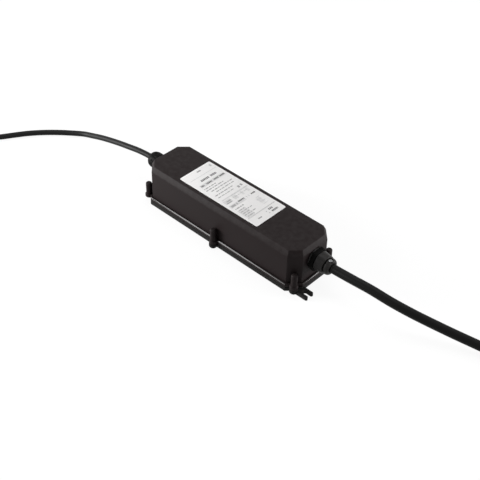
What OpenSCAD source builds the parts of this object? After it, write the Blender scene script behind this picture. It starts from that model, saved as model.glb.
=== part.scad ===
// Sealed LED driver: a moulded cover screwed to a base plate over a circuit board,
// with a cable gland at each end and a rubber lead out of each gland.
// The underside of the base lies at z = 0, the long axis is X and the mains end is at +X.

/* [Cover] */
// Length of the flat top face
top_l = 200; // [190:1:230]
// Width of the flat top face
top_w = 50.4; // [48:0.2:60]
// Leg of each corner cut, measured on the top face
corner_cut = 9; // [7:0.5:12]
// Height of the housing over the mounting surface
body_h = 47; // [45:0.5:56]
// Height of the sloped border round the top face
bevel_h = 5.6; // [3:0.2:6]
// How far the sloped border stands out from the top face
bevel_out = 2.8; // [1.5:0.1:4]
// Wall of the cover
wall = 2.5; // [2:0.1:3]
// How far the flange stands out from the cover's wall
flange_out = 2.4; // [1.8:0.05:3]
// Thickness of the flange
flange_t = 2.3; // [1.8:0.1:3.5]

/* [Screw posts] */
// Diameter of the screw posts
post_d = 6.4; // [6.2:0.1:7]
// Height of the post tops over the mounting surface
post_top = 22.5; // [19.5:0.5:28]
// Distance from the cover's wall to the post centres
post_out = 3.9; // [3.2:0.05:4.2]
// Chamfer round the post tops
post_chamfer = 0.8; // [0.4:0.1:1.4]
// Diameter of the lobes under the posts, on flange and base
lobe_d = 8.6; // [8.4:0.1:10]
// Thread diameter of the cover screws
screw_d = 3; // [2.5:0.1:3.2]
// Length of the cover screws under their heads
screw_l = 13; // [11:0.5:14]
// Diameter of the cover screw heads
screw_head_d = 5.6; // [5:0.1:6]
// Height of the cover screw heads
screw_head_h = 2; // [1.6:0.1:2.2]

/* [Base] */
// Height of the base plate's edge
base_h = 4.8; // [4.4:0.1:6]
// Chamfer along the lower edge of the base
base_chamfer = 0.4; // [0.3:0.1:1.2]
// Depth of the recesses under the base
recess_h = 1.8; // [1:0.1:2]
// Width of the border round those recesses
border = 7; // [6:0.5:9]
// Thickness of the ribs between them
rib_t = 2; // [1.5:0.1:3]
// Number of recesses along the base
recess_count = 6; // [4:2:10]
// Height of the lip that centres the cover
lip_h = 3; // [2:0.2:3.8]
// Thickness of that lip
lip_t = 1.5; // [1.2:0.1:2]
// Height of the pillars that carry the circuit board
pillar_h = 4; // [3.5:0.5:6]
// Diameter of those pillars
pillar_d = 7; // [6:0.1:8]

/* [Fork lugs] */
// Distance of the fork slots from the long axis
lug_y = 20.9; // [19:0.1:22]
// How far the lugs reach out from the base
lug_reach = 11.75; // [11:0.05:18]
// Thickness of the lugs
lug_t = 4; // [3:0.1:4.4]
// Width of the fork slots
slot_w = 4.6; // [4.2:0.1:5.5]
// Length of the fork slots, from their round end to the open end
slot_l = 8.4; // [7:0.1:10]
// Width of each prong beside a slot
prong_w = 3.15; // [2.6:0.05:4]

/* [Gasket] */
// Width of the gasket
gasket_w = 2; // [1.6:0.1:2.2]
// How far the gasket reaches out past the cover's wall
gasket_out = 0.5; // [0.2:0.1:0.6]
// Depth of the groove that holds it
groove_depth = 1.2; // [0.8:0.1:1.4]
// Gap that the gasket keeps between base and flange
seam = 0.4; // [0.2:0.1:0.8]

/* [Label] */
// Length of the label
label_l = 105.2; // [80:0.2:130]
// Width of the label
label_w = 42; // [30:0.2:44]
// Place of the label's centre along the housing
label_x = -5.4; // [-15:0.2:15]
// Thickness of the label
label_t = 0.2; // [0.1:0.05:0.4]
// Radius of the label's corners
label_r = 1.5; // [0.5:0.1:4]

/* [Cables] */
// Diameter of the mains cable
mains_d = 9.2; // [8.4:0.1:9.4]
// Diameter of the output cable
output_d = 6.2; // [5.6:0.1:6.4]
// Diameter of the cores in the mains cable
mains_core_d = 2.9; // [2.4:0.1:3]
// Diameter of the cores in the output cable
output_core_d = 2.3; // [2:0.1:2.4]
// Length of the bared cores at the far end of each cable
core_l = 32; // [20:1:40]
// Length of the tinned tips on those cores
tip_l = 8; // [5:0.5:12]

/* [Glands] */
// Distance of the gland axes below the top face
gland_drop = 17.4; // [16.5:0.1:19]
// Thread diameter of the mains gland
mains_thread = 16; // [15.6:0.1:17]
// Thread diameter of the output gland
output_thread = 12; // [11.6:0.1:13]
// Width across the flats of the mains gland's body
mains_hex = 22; // [21:0.5:24]
// Width across the flats of the output gland's body
output_hex = 18; // [17:0.5:20]
// Thickness of the sealing washers
washer_t = 1.5; // [1:0.1:2]
// Thickness of the hexagon on each gland body
hex_t = 4.5; // [3.5:0.1:6]
// Length of thread outside the hexagon
thread_l = 7; // [6.5:0.1:9]
// Thickness of the lock nuts
locknut_t = 4; // [3:0.1:5]
// Thickness of the wall at the outer end of each gland nut
nut_end = 1.5; // [1.2:0.1:2.5]
// Length of the dome on the output gland's nut
dome_l = 6.9; // [5:0.1:9]
// Number of grip flutes round the output gland's nut
flute_count = 12; // [8:2:16]
// Outer diameter of the strain relief collar
collar_d = 17; // [16:0.1:18]
// Diameter of the neck between nut and collar
neck_d = 14.4; // [12.6:0.1:15]
// Length of that neck
neck_l = 1.5; // [1:0.1:2]
// Diameter of the boss on the collar
boss_d = 5.6; // [5.4:0.1:7]
// Height of the boss over the gland axis
boss_top = 8.5; // [8:0.1:9.5]
// Head diameter of the pinch screw
pinch_head_d = 3.8; // [3.4:0.1:4.4]

/* [Circuit board] */
// Distance from the outline of the top face to the board's edge, seen from above
board_in = 3.2; // [2.6:0.1:5]
// Thickness of the board
board_t = 1.6; // [1:0.2:2.4]
// Diameter of the bulk capacitor
bulk_d = 18; // [14:0.5:20]
// Height of the bulk capacitor
bulk_h = 30; // [20:0.5:31]
// Depth of the transformer core, along the housing
core_x = 21; // [16:0.5:22]
// Width of the transformer core
core_y = 28; // [24:0.5:30]
// Height of the transformer core
core_z = 24; // [18:0.5:28]
// Thickness of the core's outer limbs
limb = 6; // [4:0.2:7]
// How far the winding stands out at each end of the core
coil_out = 3; // [2:0.1:4]
// Diameter of the output capacitors
out_cap_d = 12.5; // [10:0.5:14]
// Height of the output capacitors
out_cap_h = 21; // [15:0.5:26]
// Outer diameter of the choke's ring
choke_d = 22; // [18:0.5:24]
// Thickness of the heat sink plates
sink_t = 2.5; // [1.5:0.1:4]
// Height of the heat sink plates
sink_h = 26; // [20:0.5:29]

/* [Hidden] */
$fn = 64;

// Clearances: between pieces that slide together, between a thread and its hole, round a screw,
// round a cable and between a cable and its seal
slide_gap = 0.15;
thread_gap = 0.15;
screw_gap = 0.2;
cable_gap = 0.4;
seal_gap = 0.05;
// How far cutting shapes run past the faces that they cut
past = 1;

// Outline of the housing, as half sizes at the wall
half_l = top_l / 2 + bevel_out;
half_w = top_w / 2 + bevel_out;
half_diagonal = (top_l / 2 + top_w / 2 - corner_cut) / sqrt(2) + bevel_out;
slope = atan2(bevel_out, bevel_h);
eave_z = body_h - bevel_h;
cover_z = base_h + seam;

// Screw posts: one on the middle of each corner facet and one on the middle of each long side
wall_cut = corner_cut + bevel_out * (2 - sqrt(2));
post_x = half_l - wall_cut / 2 + post_out / sqrt(2);
post_y = half_w - wall_cut / 2 + post_out / sqrt(2);
side_post_y = half_w + post_out;
post_places = [
    [post_x, post_y], [-post_x, post_y], [-post_x, -post_y], [post_x, -post_y],
    [0, side_post_y], [0, -side_post_y]
];
// The base is screwed on at the side posts and at the two corners that carry the fork lugs
screw_places = [[post_x, -post_y], [-post_x, post_y], [0, side_post_y], [0, -side_post_y]];
post_foot = cover_z + flange_t / 2;
web_t = 2.6;
web_drop = 1.5;
lobe_chamfer = 1.2;
head_sunk = 0.5;
seat_z = screw_head_h + head_sunk;
cross_depth = 1.1;
cross_t = 0.8;

// Fork lugs
base_end = half_l + flange_out;
lug_w = slot_w + 2 * prong_w;
lug_tip = base_end + lug_reach;
lug_root = corner_cut + 2;

// Circuit board and its pillars
board_z = base_h + pillar_h;
board_top = board_z + board_t;
pillar_end = 14;
pillar_side = 9;
pillar_places = [
    for (sx = [-1, 1], sy = [-1, 1]) [sx * (top_l / 2 - pillar_end), sy * (top_w / 2 - pillar_side)]
];
board_screw_d = 2.5;
board_screw_l = 5.5;
board_head_d = 4.6;
board_head_h = 1.8;
sheet_t = 0.5;
sheet_end = 22;
sheet_side = 5;

// Gland stations along the axis, from the outer face of the end wall outwards
gland_z = body_h - gland_drop;
body_face = washer_t + hex_t;
thread_end = body_face + thread_l;
nut_start = body_face + 2 * slide_gap;
seal_out = 0.8;
seal_depth = 6;
seal_end = thread_end + seal_out;
nut_face = seal_end + nut_end;
dome_start = thread_end;
nut_wall = 1.9;
nut_tip_wall = 1.2;
nut_taper = 1.2;
collar_l = boss_d + 0.3;
boss_x = nut_face + collar_l - boss_d / 2;
saddle_t = 0.8;
saddle_w = 3.6;
saddle_top = mains_d / 2 + seal_gap + saddle_t;
pinch_d = 2.6;
pinch_head_h = 1;
pinch_sunk = 0.9;
head_seat = boss_top - pinch_head_h - pinch_sunk;
head_gap = 0.45;

// Cable routes through the air and along the mounting surface: distance out from the end wall,
// Y, and height
mains_points = [
    [-17, 0, gland_z], [3, 0, gland_z], [24, 0, gland_z], [43, 1, 29.5], [64, 3.5, 28.2],
    [85, 6.5, 25], [105, 12, 20.5], [124, 19, 15.5], [143, 26, 11], [162, 32.5, 7.5],
    [182, 38, 5.2], [203, 40, 4.7], [224, 37, 4.7], [242, 28, 4.7], [254, 12, 4.7],
    [260, -8, 4.7], [261, -29, 4.7], [260.5, -38, 4.7]
];
output_points = [
    [-15, 0, gland_z], [4, 0, gland_z], [23.5, 0, gland_z], [40, -0.3, 28.3], [56, -0.5, 25.4],
    [72, -0.4, 22], [88, -0.2, 18], [104, -0.2, 13.6], [119, -0.6, 9], [133, -2.2, 5.3],
    [146, -9, 3.6], [158, -18.5, 3.2], [170, -30.5, 3.2], [181, -44, 3.2], [190, -58, 3.2],
    [198, -71, 3.2], [208, -83, 3.2], [220, -93, 3.2], [234, -100, 3.2], [249, -104, 3.2],
    [265, -105, 3.2], [280, -104.5, 3.2]
];
mains_route = [for (p = mains_points) [half_l + p[0], p[1], p[2]]];
output_route = [for (p = output_points) [-half_l - p[0], p[1], p[2]]];

// Row of parts on the board, laid out from the transformer to both ends
part_gap = 2.5;
device_t = 4.5;
fin_out = 4;
wire_d = 1.2;
transformer_x = -26.5;
terminal_back = 16;
coil_half = core_x / 2 + coil_out;
diode_x = transformer_x - coil_half - part_gap - fin_out - sink_t;
transistor_x = transformer_x + coil_half + part_gap + fin_out + sink_t;
bulk_x = transistor_x + device_t + part_gap + bulk_d / 2;
choke_reach = choke_d / 2 + wire_d + 0.2;
choke_x = bulk_x + bulk_d / 2 + part_gap + choke_reach;
filter_x = choke_x + choke_reach + part_gap;
input_x = mains_route[0][0] - terminal_back;
output_x = output_route[0][0] + terminal_back;
out_cap_x = diode_x - device_t - part_gap - out_cap_d / 2;

// Geometry helpers

// The housing's outline seen from above, moved outwards by d from the top face's outline
module outline(d) {
    a = top_l / 2 + d;
    b = top_w / 2 + d;
    c = corner_cut + d * (2 - sqrt(2));
    polygon([
        [a, b - c], [a - c, b], [c - a, b], [-a, b - c],
        [-a, c - b], [c - a, -b], [a - c, -b], [a, c - b]
    ]);
}

// A long bar with the given cross-section, lying across the housing after a turn about Z
module bar(turn, section) {
    rotate([0, 0, turn]) rotate([90, 0, 0]) linear_extrude(2 * top_l, center = true) polygon(section);
}

// Cross-section with sloped shoulders: half width, foot, shoulder and roof heights, roof inset
function roofed(half, foot, shoulder, roof, inset) = [
    [-half, foot], [half, foot], [half, shoulder], [half - inset, roof],
    [inset - half, roof], [-half, shoulder]
];

// Cross-section of a plate with chamfered lower edges
function chamfered(half, top, chamfer) = [
    [chamfer - half, 0], [half - chamfer, 0], [half, chamfer], [half, top], [-half, top], [-half, chamfer]
];

// The cover's outer form: the same roofed section along, across and on both diagonals
module cover_form() {
    intersection() {
        bar(90, roofed(half_w, cover_z, eave_z, body_h, bevel_out));
        bar(0, roofed(half_l, cover_z, eave_z, body_h, bevel_out));
        bar(45, roofed(half_diagonal, cover_z, eave_z, body_h, bevel_out));
        bar(-45, roofed(half_diagonal, cover_z, eave_z, body_h, bevel_out));
    }
}

// The room inside the cover, one wall away from every outer face
module cover_room() {
    shoulder = eave_z - wall * tan(slope / 2);
    roof = body_h - wall;
    inset = bevel_out + wall * tan(45 - slope / 2) - wall;
    intersection() {
        bar(90, roofed(half_w - wall, cover_z - past, shoulder, roof, inset));
        bar(0, roofed(half_l - wall, cover_z - past, shoulder, roof, inset));
        bar(45, roofed(half_diagonal - wall, cover_z - past, shoulder, roof, inset));
        bar(-45, roofed(half_diagonal - wall, cover_z - past, shoulder, roof, inset));
    }
}

// The base plate's form, with its lower edge chamfered
module base_form() {
    intersection() {
        bar(90, chamfered(half_w + flange_out, base_h, base_chamfer));
        bar(0, chamfered(half_l + flange_out, base_h, base_chamfer));
        bar(45, chamfered(half_diagonal + flange_out, base_h, base_chamfer));
        bar(-45, chamfered(half_diagonal + flange_out, base_h, base_chamfer));
    }
}

// A hexagonal prism along X with a flat on top
module hexagon_bar(flats, length) {
    rotate([0, 90, 0]) rotate([0, 0, 30]) cylinder(h = length, d = flats / cos(30), $fn = 6);
}

// A round bar along X
module round_bar(d, length) {
    rotate([0, 90, 0]) cylinder(h = length, d = d);
}

// Moves a gland piece to the mains end, or to the output end
module at_mains_end() {
    translate([half_l, 0, gland_z]) children();
}

module at_output_end() {
    translate([-half_l, 0, gland_z]) rotate([0, 0, 180]) children();
}

function unit(v) = v / norm(v);

// Direction of a route at its point i
function heading(route, i) = unit(route[min(i + 1, len(route) - 1)] - route[max(i - 1, 0)]);

// A ring of points round c, square to direction t
function ring_points(c, t, r, sides) =
    let (side = unit(cross(t, [0, 0, 1])), up = cross(side, t))
    [for (k = [0 : sides - 1]) c + r * (cos(360 * k / sides) * side + sin(360 * k / sides) * up)];

// A flexible round lead along a route
module lead(route, d, sides) {
    last = len(route) - 1;
    points = [for (i = [0 : last]) each ring_points(route[i], heading(route, i), d / 2, sides)];
    sleeve = [
        for (i = [0 : last - 1], k = [0 : sides - 1])
            let (a = i * sides + k, b = i * sides + (k + 1) % sides)
            each [[a, b, b + sides], [a, b + sides, a + sides]]
    ];
    start_cap = [for (k = [sides - 1 : -1 : 0]) k];
    end_cap = [for (k = [0 : sides - 1]) last * sides + k];
    polyhedron(points, concat([start_cap, end_cap], sleeve));
}

// Puts children at the far end of a route, with X along the lead
module at_route_end(route) {
    last = len(route) - 1;
    run = route[last] - route[last - 1];
    translate(route[last]) rotate([0, 0, atan2(run[1], run[0])]) children();
}

// Bared cores: a bundle of count cores, fanned a little; part of each is drawn from start on
core_fan = 7;
module fanned_cores(count, core_d, drawn_d, start, length) {
    bundle = count == 2 ? core_d / 2 + 0.1 : core_d / sqrt(3) + 0.15;
    for (k = [0 : count - 1]) {
        turn = count == 2 ? 180 * k : 90 + 120 * k;
        y = bundle * cos(turn);
        fan = abs(y) < 0.01 ? 0 : core_fan * sign(y);
        translate([core_d * sin(core_fan) / 2 + 0.05, y, bundle * sin(turn)])
            rotate([0, 0, fan]) translate([start, 0, 0]) round_bar(drawn_d, length);
    }
}

// Housing pieces

module cylinders(places, d, z, h) {
    for (p = places) translate([p[0], p[1], z]) cylinder(h = h, d = d);
}

// Webs that tie the posts to the cover's wall
module post_webs() {
    reach = post_out + wall / 2;
    for (p = post_places) translate([p[0], p[1], post_foot])
        rotate([0, 0, atan2(sign(p[1]), sign(p[0]))]) translate([-reach, -web_t / 2, 0])
            cube([reach, web_t, post_top - web_drop - post_foot]);
}

module cover() {
    color("#33302f") difference() {
        union() {
            cover_form();
            translate([0, 0, cover_z]) linear_extrude(flange_t) outline(bevel_out + flange_out);
            cylinders(post_places, lobe_d, cover_z, flange_t);
            cylinders(post_places, post_d, post_foot, post_top - post_chamfer - post_foot);
            post_webs();
            for (p = post_places) translate([p[0], p[1], post_top - post_chamfer])
                cylinder(h = post_chamfer, d1 = post_d, d2 = post_d - 2 * post_chamfer);
        }
        cover_room();
        cylinders(post_places, screw_d + screw_gap, cover_z - past, seat_z + screw_l - cover_z + 2 * past);
        at_mains_end() translate([-2 * wall, 0, 0]) round_bar(mains_thread + 2 * thread_gap, 3 * wall);
        at_output_end() translate([-2 * wall, 0, 0]) round_bar(output_thread + 2 * thread_gap, 3 * wall);
    }
}

// One fork lug at the +X end of the base
module fork_lug() {
    tip_x = lug_tip - prong_w / 2;
    slot_x = lug_tip - slot_l + slot_w / 2;
    translate([0, -lug_y, 0]) difference() {
        union() {
            translate([base_end - lug_root, -lug_w / 2, 0]) cube([tip_x - base_end + lug_root, lug_w, lug_t]);
            for (s = [-1, 1]) translate([tip_x, s * (lug_w - prong_w) / 2, 0]) cylinder(h = lug_t, d = prong_w);
        }
        translate([slot_x, -slot_w / 2, -past]) cube([slot_l + past, slot_w, lug_t + 2 * past]);
        translate([slot_x, 0, -past]) cylinder(h = lug_t + 2 * past, d = slot_w);
    }
}

// The recesses under the base, between a middle rib and cross ribs
module base_recesses() {
    span = top_l + 2 * (bevel_out + flange_out - border);
    pitch = span / recess_count;
    difference() {
        translate([0, 0, -past]) linear_extrude(recess_h + past) outline(bevel_out + flange_out - border);
        translate([-top_l, -rib_t / 2, -2 * past]) cube([2 * top_l, rib_t, recess_h + 4 * past]);
        for (i = [1 : recess_count - 1]) translate([i * pitch - span / 2 - rib_t / 2, -top_w, -2 * past])
            cube([rib_t, 2 * top_w, recess_h + 4 * past]);
    }
}

module base_plate() {
    lip_out = bevel_out - wall - slide_gap;
    groove_out = bevel_out + gasket_out + slide_gap;
    color("#2b2929") difference() {
        union() {
            base_form();
            for (p = screw_places) translate([p[0], p[1], 0]) {
                cylinder(h = lobe_chamfer, d1 = lobe_d - 2 * lobe_chamfer, d2 = lobe_d);
                translate([0, 0, lobe_chamfer]) cylinder(h = base_h - lobe_chamfer, d = lobe_d);
            }
            for (turn = [0, 180]) rotate([0, 0, turn]) fork_lug();
            translate([0, 0, base_h]) linear_extrude(lip_h) difference() {
                outline(lip_out);
                outline(lip_out - lip_t);
            }
            for (p = pillar_places) translate([p[0], p[1], base_h]) cylinder(h = pillar_h, d = pillar_d);
        }
        base_recesses();
        translate([0, 0, base_h - groove_depth]) linear_extrude(groove_depth + past / 2) difference() {
            outline(groove_out);
            outline(groove_out - gasket_w - 2 * slide_gap);
        }
        cylinders(screw_places, screw_d + 2 * screw_gap, -past, base_h + 2 * past);
        cylinders(screw_places, screw_head_d + 2 * screw_gap, -past, seat_z + past);
        for (p = pillar_places) translate([p[0], p[1], board_top - board_screw_l - board_t / 2])
            cylinder(h = board_screw_l + past, d = board_screw_d + screw_gap);
    }
}

module gasket() {
    gasket_edge = bevel_out + gasket_out;
    color("#1a1a1a") translate([0, 0, base_h - groove_depth]) linear_extrude(groove_depth + seam) difference() {
        outline(gasket_edge);
        outline(gasket_edge - gasket_w);
    }
}

// A pan head screw with a cross recess, head up, its seat at z = 0
module pan_screw(d, length, head_d, head_h) {
    recess = min(cross_depth, head_h * 0.7);
    difference() {
        union() {
            translate([0, 0, -length]) cylinder(h = length, d = d);
            cylinder(h = head_h, d = head_d);
        }
        for (turn = [0, 90]) rotate([0, 0, turn])
            translate([-head_d * 0.3, -cross_t / 2, head_h - recess]) cube([head_d * 0.6, cross_t, head_h]);
    }
}

module cover_screws() {
    color("#b9bcc0") for (p = screw_places) translate([p[0], p[1], seat_z]) rotate([180, 0, 0])
        pan_screw(screw_d, screw_l, screw_head_d, screw_head_h);
}

module label() {
    straight_l = label_l - 2 * label_r;
    straight_w = label_w - 2 * label_r;
    color("#ecebe8") translate([label_x, 0, body_h]) union() {
        translate([-label_l / 2, -straight_w / 2, 0]) cube([label_l, straight_w, label_t]);
        translate([-straight_l / 2, -label_w / 2, 0]) cube([straight_l, label_w, label_t]);
        for (sx = [-1, 1], sy = [-1, 1]) translate([sx * straight_l / 2, sy * straight_w / 2, 0])
            cylinder(h = label_t, r = label_r);
    }
}

// Gland pieces, along +X from the outer face of the end wall

function seal_d(thread_d, cable_d) = (thread_d + cable_d) / 2;

module gland_body(thread_d, flats, cable_d) {
    inner_l = wall + locknut_t + 1.5;
    difference() {
        union() {
            translate([-inner_l, 0, 0]) round_bar(thread_d, inner_l + thread_end);
            translate([washer_t, 0, 0]) intersection() {
                hexagon_bar(flats, hex_t);
                rotate([0, 90, 0]) cylinder(h = hex_t, d1 = flats * 1.2, d2 = flats * 1.08);
            }
        }
        translate([-inner_l - past, 0, 0]) round_bar(cable_d + 2 * cable_gap, inner_l + thread_end + 2 * past);
        translate([thread_end - seal_depth, 0, 0])
            round_bar(seal_d(thread_d, cable_d) + slide_gap, seal_depth + past);
    }
}

module gland_washer(thread_d, flats) {
    difference() {
        round_bar(flats - 1, washer_t);
        translate([-past, 0, 0]) round_bar(thread_d + 2 * thread_gap, washer_t + 2 * past);
    }
}

module gland_locknut(thread_d, flats) {
    translate([-wall - locknut_t, 0, 0]) difference() {
        hexagon_bar(flats, locknut_t);
        translate([-past, 0, 0]) round_bar(thread_d + 2 * thread_gap, locknut_t + 2 * past);
    }
}

module gland_seal(thread_d, cable_d) {
    translate([thread_end - seal_depth, 0, 0]) difference() {
        round_bar(seal_d(thread_d, cable_d), seal_depth + seal_out);
        translate([-past, 0, 0]) round_bar(cable_d + 2 * seal_gap, seal_depth + seal_out + 2 * past);
    }
}

// The thread and cable holes of a gland nut
module nut_holes(thread_d, cable_d, end) {
    translate([nut_start - past, 0, 0]) round_bar(thread_d + 2 * thread_gap, seal_end - nut_start + past);
    translate([seal_end - past, 0, 0]) round_bar(cable_d + 2 * cable_gap, end - seal_end + 2 * past);
}

module mains_gland_body() {
    color("#262524") at_mains_end() gland_body(mains_thread, mains_hex, mains_d);
}

module mains_gland_washer() {
    color("#1c1c1c") at_mains_end() gland_washer(mains_thread, mains_hex);
}

module mains_gland_locknut() {
    color("#2a2a2a") at_mains_end() gland_locknut(mains_thread, mains_thread + 4);
}

module mains_gland_seal() {
    color("#202020") at_mains_end() gland_seal(mains_thread, mains_d);
}

// Hexagon nut, slimmer than the body's hexagon, that narrows to its outer end
module mains_gland_nut() {
    nut_l = nut_face - nut_start;
    flats = mains_thread + 2 * nut_wall;
    tip_d = mains_thread + 2 * nut_tip_wall;
    color("#2b2a29") at_mains_end() difference() {
        translate([nut_start, 0, 0]) intersection() {
            hexagon_bar(flats, nut_l);
            rotate([0, 90, 0]) cylinder(h = nut_l, d1 = flats + nut_taper, d2 = tip_d);
        }
        nut_holes(mains_thread, mains_d, nut_face);
    }
}

// Collar behind the nut: a neck, a rounded ring, and a boss for the screw that pinches the cable
module strain_relief_collar() {
    bore_r = mains_d / 2 + cable_gap;
    ring_r = collar_d / 2;
    round_l = (collar_l - neck_l) * 0.75;
    pocket = saddle_w + 2 * slide_gap;
    color("#282726") at_mains_end() difference() {
        union() {
            translate([nut_face, 0, 0]) rotate([0, 90, 0]) rotate_extrude() polygon(concat(
                [[bore_r, 0], [neck_d / 2, 0], [neck_d / 2, neck_l], [ring_r, neck_l]],
                [for (t = [0 : 30 : 90])
                    [bore_r + 1 + (ring_r - bore_r - 1) * cos(t), collar_l - round_l + round_l * sin(t)]],
                [[bore_r, collar_l]]
            ));
            translate([boss_x, 0, neck_d / 2 - 1]) cylinder(h = boss_top - neck_d / 2 + 1, d = boss_d);
        }
        translate([boss_x - pocket / 2, -pocket / 2, 0]) cube([pocket, pocket, saddle_top + slide_gap]);
        translate([boss_x, 0, 0]) cylinder(h = boss_top, d = pinch_d + screw_gap);
        translate([boss_x, 0, head_seat]) cylinder(h = boss_top, d = pinch_head_d + 2 * head_gap);
    }
}

module pressure_saddle() {
    color("#c9a24a") at_mains_end() translate([boss_x - saddle_w / 2, -saddle_w / 2, saddle_top - saddle_t])
        cube([saddle_w, saddle_w, saddle_t]);
}

module pinch_screw() {
    color("#c4c6c8") at_mains_end() translate([boss_x, 0, head_seat])
        pan_screw(pinch_d, head_seat - saddle_top, pinch_head_d, pinch_head_h);
}

module output_gland_body() {
    color("#262524") at_output_end() gland_body(output_thread, output_hex, output_d);
}

module output_gland_washer() {
    color("#1c1c1c") at_output_end() gland_washer(output_thread, output_hex);
}

module output_gland_locknut() {
    color("#2a2a2a") at_output_end() gland_locknut(output_thread, output_thread + 4);
}

module output_gland_seal() {
    color("#202020") at_output_end() gland_seal(output_thread, output_d);
}

// Round nut with grip flutes and a dome that narrows to the cable
module output_gland_nut() {
    end = dome_start + dome_l;
    nut_r = output_hex / 2;
    mouth_r = output_d / 2 + 1.4;
    color("#2b2a29") at_output_end() difference() {
        rotate([0, 90, 0]) rotate_extrude() polygon(concat(
            [[0, nut_start], [nut_r, nut_start], [nut_r, dome_start]],
            [for (k = [1 : 5]) let (t = 90 * k / 5)
                [mouth_r + (nut_r - mouth_r) * cos(t), dome_start + dome_l * sin(t)]],
            [[0, end]]
        ));
        nut_holes(output_thread, output_d, end);
        for (k = [0 : flute_count - 1]) rotate([360 * k / flute_count, 0, 0])
            translate([nut_start - past, 0, nut_r + 0.5]) round_bar(2, dome_start - nut_start + past);
    }
}

// Cables

module mains_cable() {
    color("#1d1c1c") lead(mains_route, mains_d, 12);
}

module mains_cores() {
    color("#7a4a2b") at_route_end(mains_route) fanned_cores(3, mains_core_d, mains_core_d, 0, core_l);
}

module mains_core_tips() {
    color("#c7c9cb") at_route_end(mains_route)
        fanned_cores(3, mains_core_d, mains_core_d * 0.55, core_l, tip_l);
}

module output_cable() {
    color("#232222") lead(output_route, output_d, 12);
}

module output_cores() {
    color("#8c2a22") at_route_end(output_route) fanned_cores(2, output_core_d, output_core_d, 0, core_l);
}

module output_core_tips() {
    color("#c7c9cb") at_route_end(output_route)
        fanned_cores(2, output_core_d, output_core_d * 0.55, core_l, tip_l);
}

// Circuit board and what stands on it

module circuit_board() {
    color("#2f6b3c") difference() {
        translate([0, 0, board_z]) linear_extrude(board_t) outline(-board_in);
        for (p = pillar_places) translate([p[0], p[1], board_z - past])
            cylinder(h = board_t + 2 * past, d = board_screw_d + 2 * screw_gap);
    }
}

module board_screws() {
    color("#b9bcc0") for (p = pillar_places) translate([p[0], p[1], board_top])
        pan_screw(board_screw_d, board_screw_l, board_head_d, board_head_h);
}

module insulating_sheet() {
    sheet_l = top_l - 2 * sheet_end;
    sheet_w = top_w - 2 * sheet_side;
    color("#e6dfc4") translate([-sheet_l / 2, -sheet_w / 2, base_h]) cube([sheet_l, sheet_w, sheet_t]);
}

// A box that stands on the board, centred on a place
module on_board(place, size) {
    translate([place[0] - size[0] / 2, place[1] - size[1] / 2, board_top]) cube(size);
}

// A terminal block with one wire entry and one clamp screw well for each pole
terminal_depth = 10;
terminal_h = 12;
terminal_pitch = 5.4;
entry_d = 3.4;
module terminal(x, poles, facing) {
    span = poles * terminal_pitch;
    difference() {
        on_board([x, 0], [terminal_depth, span, terminal_h]);
        for (k = [0 : poles - 1]) translate([x, (k - (poles - 1) / 2) * terminal_pitch, board_top]) {
            translate([facing > 0 ? 1 : -terminal_depth, 0, 4.5]) round_bar(entry_d, terminal_depth - 1);
            translate([0, 0, terminal_h - 2.5]) cylinder(h = 3, d = entry_d);
        }
    }
}

module input_terminal() {
    color("#3f8f4a") terminal(input_x, 3, 1);
}

module output_terminal() {
    color("#3f8f4a") terminal(output_x, 2, -1);
}

// Wires from a cable's inner end down into a terminal
module inner_wires(cable_x, terminal_x, poles, wire_d) {
    side = sign(cable_x);
    entry_z = board_top + 4.5;
    bundle = wire_d + 0.3;
    for (k = [0 : poles - 1]) {
        spread = k - (poles - 1) / 2;
        lead([
            [cable_x, spread * bundle, gland_z],
            [cable_x - side * 2.5, spread * bundle, gland_z],
            [cable_x - side * 5, spread * terminal_pitch, (gland_z + entry_z) / 2],
            [terminal_x + side * 8, spread * terminal_pitch, entry_z + 0.3],
            [terminal_x + side * 2, spread * terminal_pitch, entry_z]
        ], wire_d, 8);
    }
}

module mains_inner_wires() {
    color("#7a4a2b") inner_wires(mains_route[0][0], input_x, 3, 2.4);
}

module output_inner_wires() {
    color("#8c2a22") inner_wires(output_route[0][0], output_x, 2, 2.2);
}

fuse_d = 5.2;
fuse_l = 20;
fuse_base_h = 2;
module fuse() {
    holder = [fuse_l + 2, 8, fuse_base_h];
    color("#d8d8d2") on_board([filter_x + holder[0] / 2, 14], holder);
    color("#d8d8d2") translate([filter_x + 1, 14, board_top + fuse_base_h + fuse_d / 2 - 0.2])
        round_bar(fuse_d, fuse_l);
}

varistor_d = 14;
varistor_t = 4.5;
module varistor() {
    y = choke_reach + part_gap + varistor_t / 2;
    color("#2b5ea8") translate([choke_x, y, board_top + varistor_d / 2]) rotate([90, 0, 0])
        cylinder(h = varistor_t, d = varistor_d, center = true);
}

module interference_capacitor() {
    case = [18, 8.5, 15];
    color("#d8b53a") on_board([filter_x + case[0] / 2, -14], case);
}

choke_h = 9;
choke_hole = 12;
choke_seat = 2.4;

module choke_ring() {
    color("#4a4f55") translate([choke_x, 0, board_top + choke_seat]) difference() {
        cylinder(h = choke_h, d = choke_d);
        translate([0, 0, -past]) cylinder(h = choke_h + 2 * past, d = choke_hole);
    }
}

// Two coils of turns wound through the ring, each turn a square loop that stands on the board
module choke_windings() {
    gap = choke_reach - choke_d / 2 - wire_d;
    ring_w = (choke_d - choke_hole) / 2;
    color("#b06a34") translate([choke_x, 0, board_top]) for (side = [0, 180], k = [-3 : 3])
        rotate([0, 0, side + k * 17]) translate([choke_hole / 2 - gap, 0, 0]) difference() {
            translate([-wire_d, -wire_d / 2, 0])
                cube([ring_w + 2 * gap + 2 * wire_d, wire_d, choke_h + 2 * choke_seat]);
            translate([0, -wire_d, choke_seat]) cube([ring_w + 2 * gap, 2 * wire_d, choke_h + gap]);
        }
}

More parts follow.
